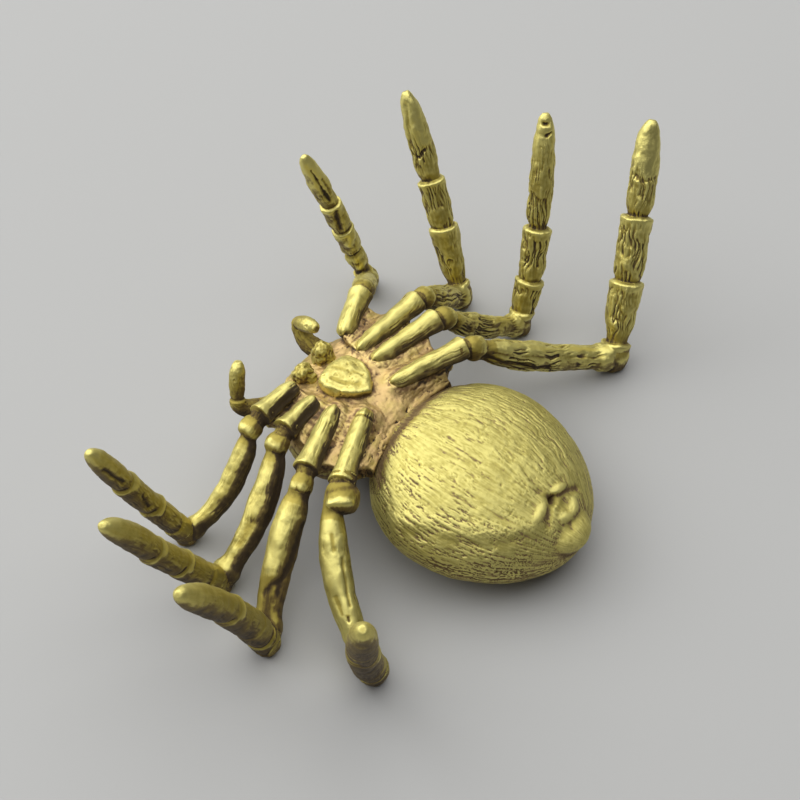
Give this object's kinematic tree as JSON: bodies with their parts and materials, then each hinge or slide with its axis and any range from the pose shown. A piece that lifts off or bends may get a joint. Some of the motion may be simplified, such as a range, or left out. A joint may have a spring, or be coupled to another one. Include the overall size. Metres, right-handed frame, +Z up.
{
  "type": "spider figurine",
  "caption": "Cast brass spider ornament lying on its back, with bent, jointed-looking legs seated in the belly of its shell; turned over, it stands on the flats of its feet.",
  "frame": {"origin": "on the table under the middle of the bounding box, with the figurine lying on its back", "axes": "+X to the spider's right side, +Y to its tail, +Z up from the table, which is out of its belly"},
  "size_m": [0.069, 0.0402, 0.0206],
  "materials": {
    "shell_brass": "cast brass with a copper-red tone and brown patina in the recesses",
    "belly_brass": "rough cast brass with worn bright high spots",
    "abdomen_brass": "satin cast brass with fine lengthwise striations and dark patina in them",
    "limb_brass": "cast brass with bark-like grooves, dark patina in them and polished crests and toes"
  },
  "bodies": {
    "root": {"shell": "shell_brass", "sternum": "belly_brass", "abdomen": "abdomen_brass", "leg_left_1": "limb_brass", "leg_left_2": "limb_brass", "leg_left_3": "limb_brass", "leg_left_4": "limb_brass", "leg_right_1": "limb_brass", "leg_right_2": "limb_brass", "leg_right_3": "limb_brass", "leg_right_4": "limb_brass", "pedipalp_left": "limb_brass", "pedipalp_right": "limb_brass", "chelicera_left": "belly_brass", "chelicera_right": "belly_brass"}
  },
  "joints": []
}
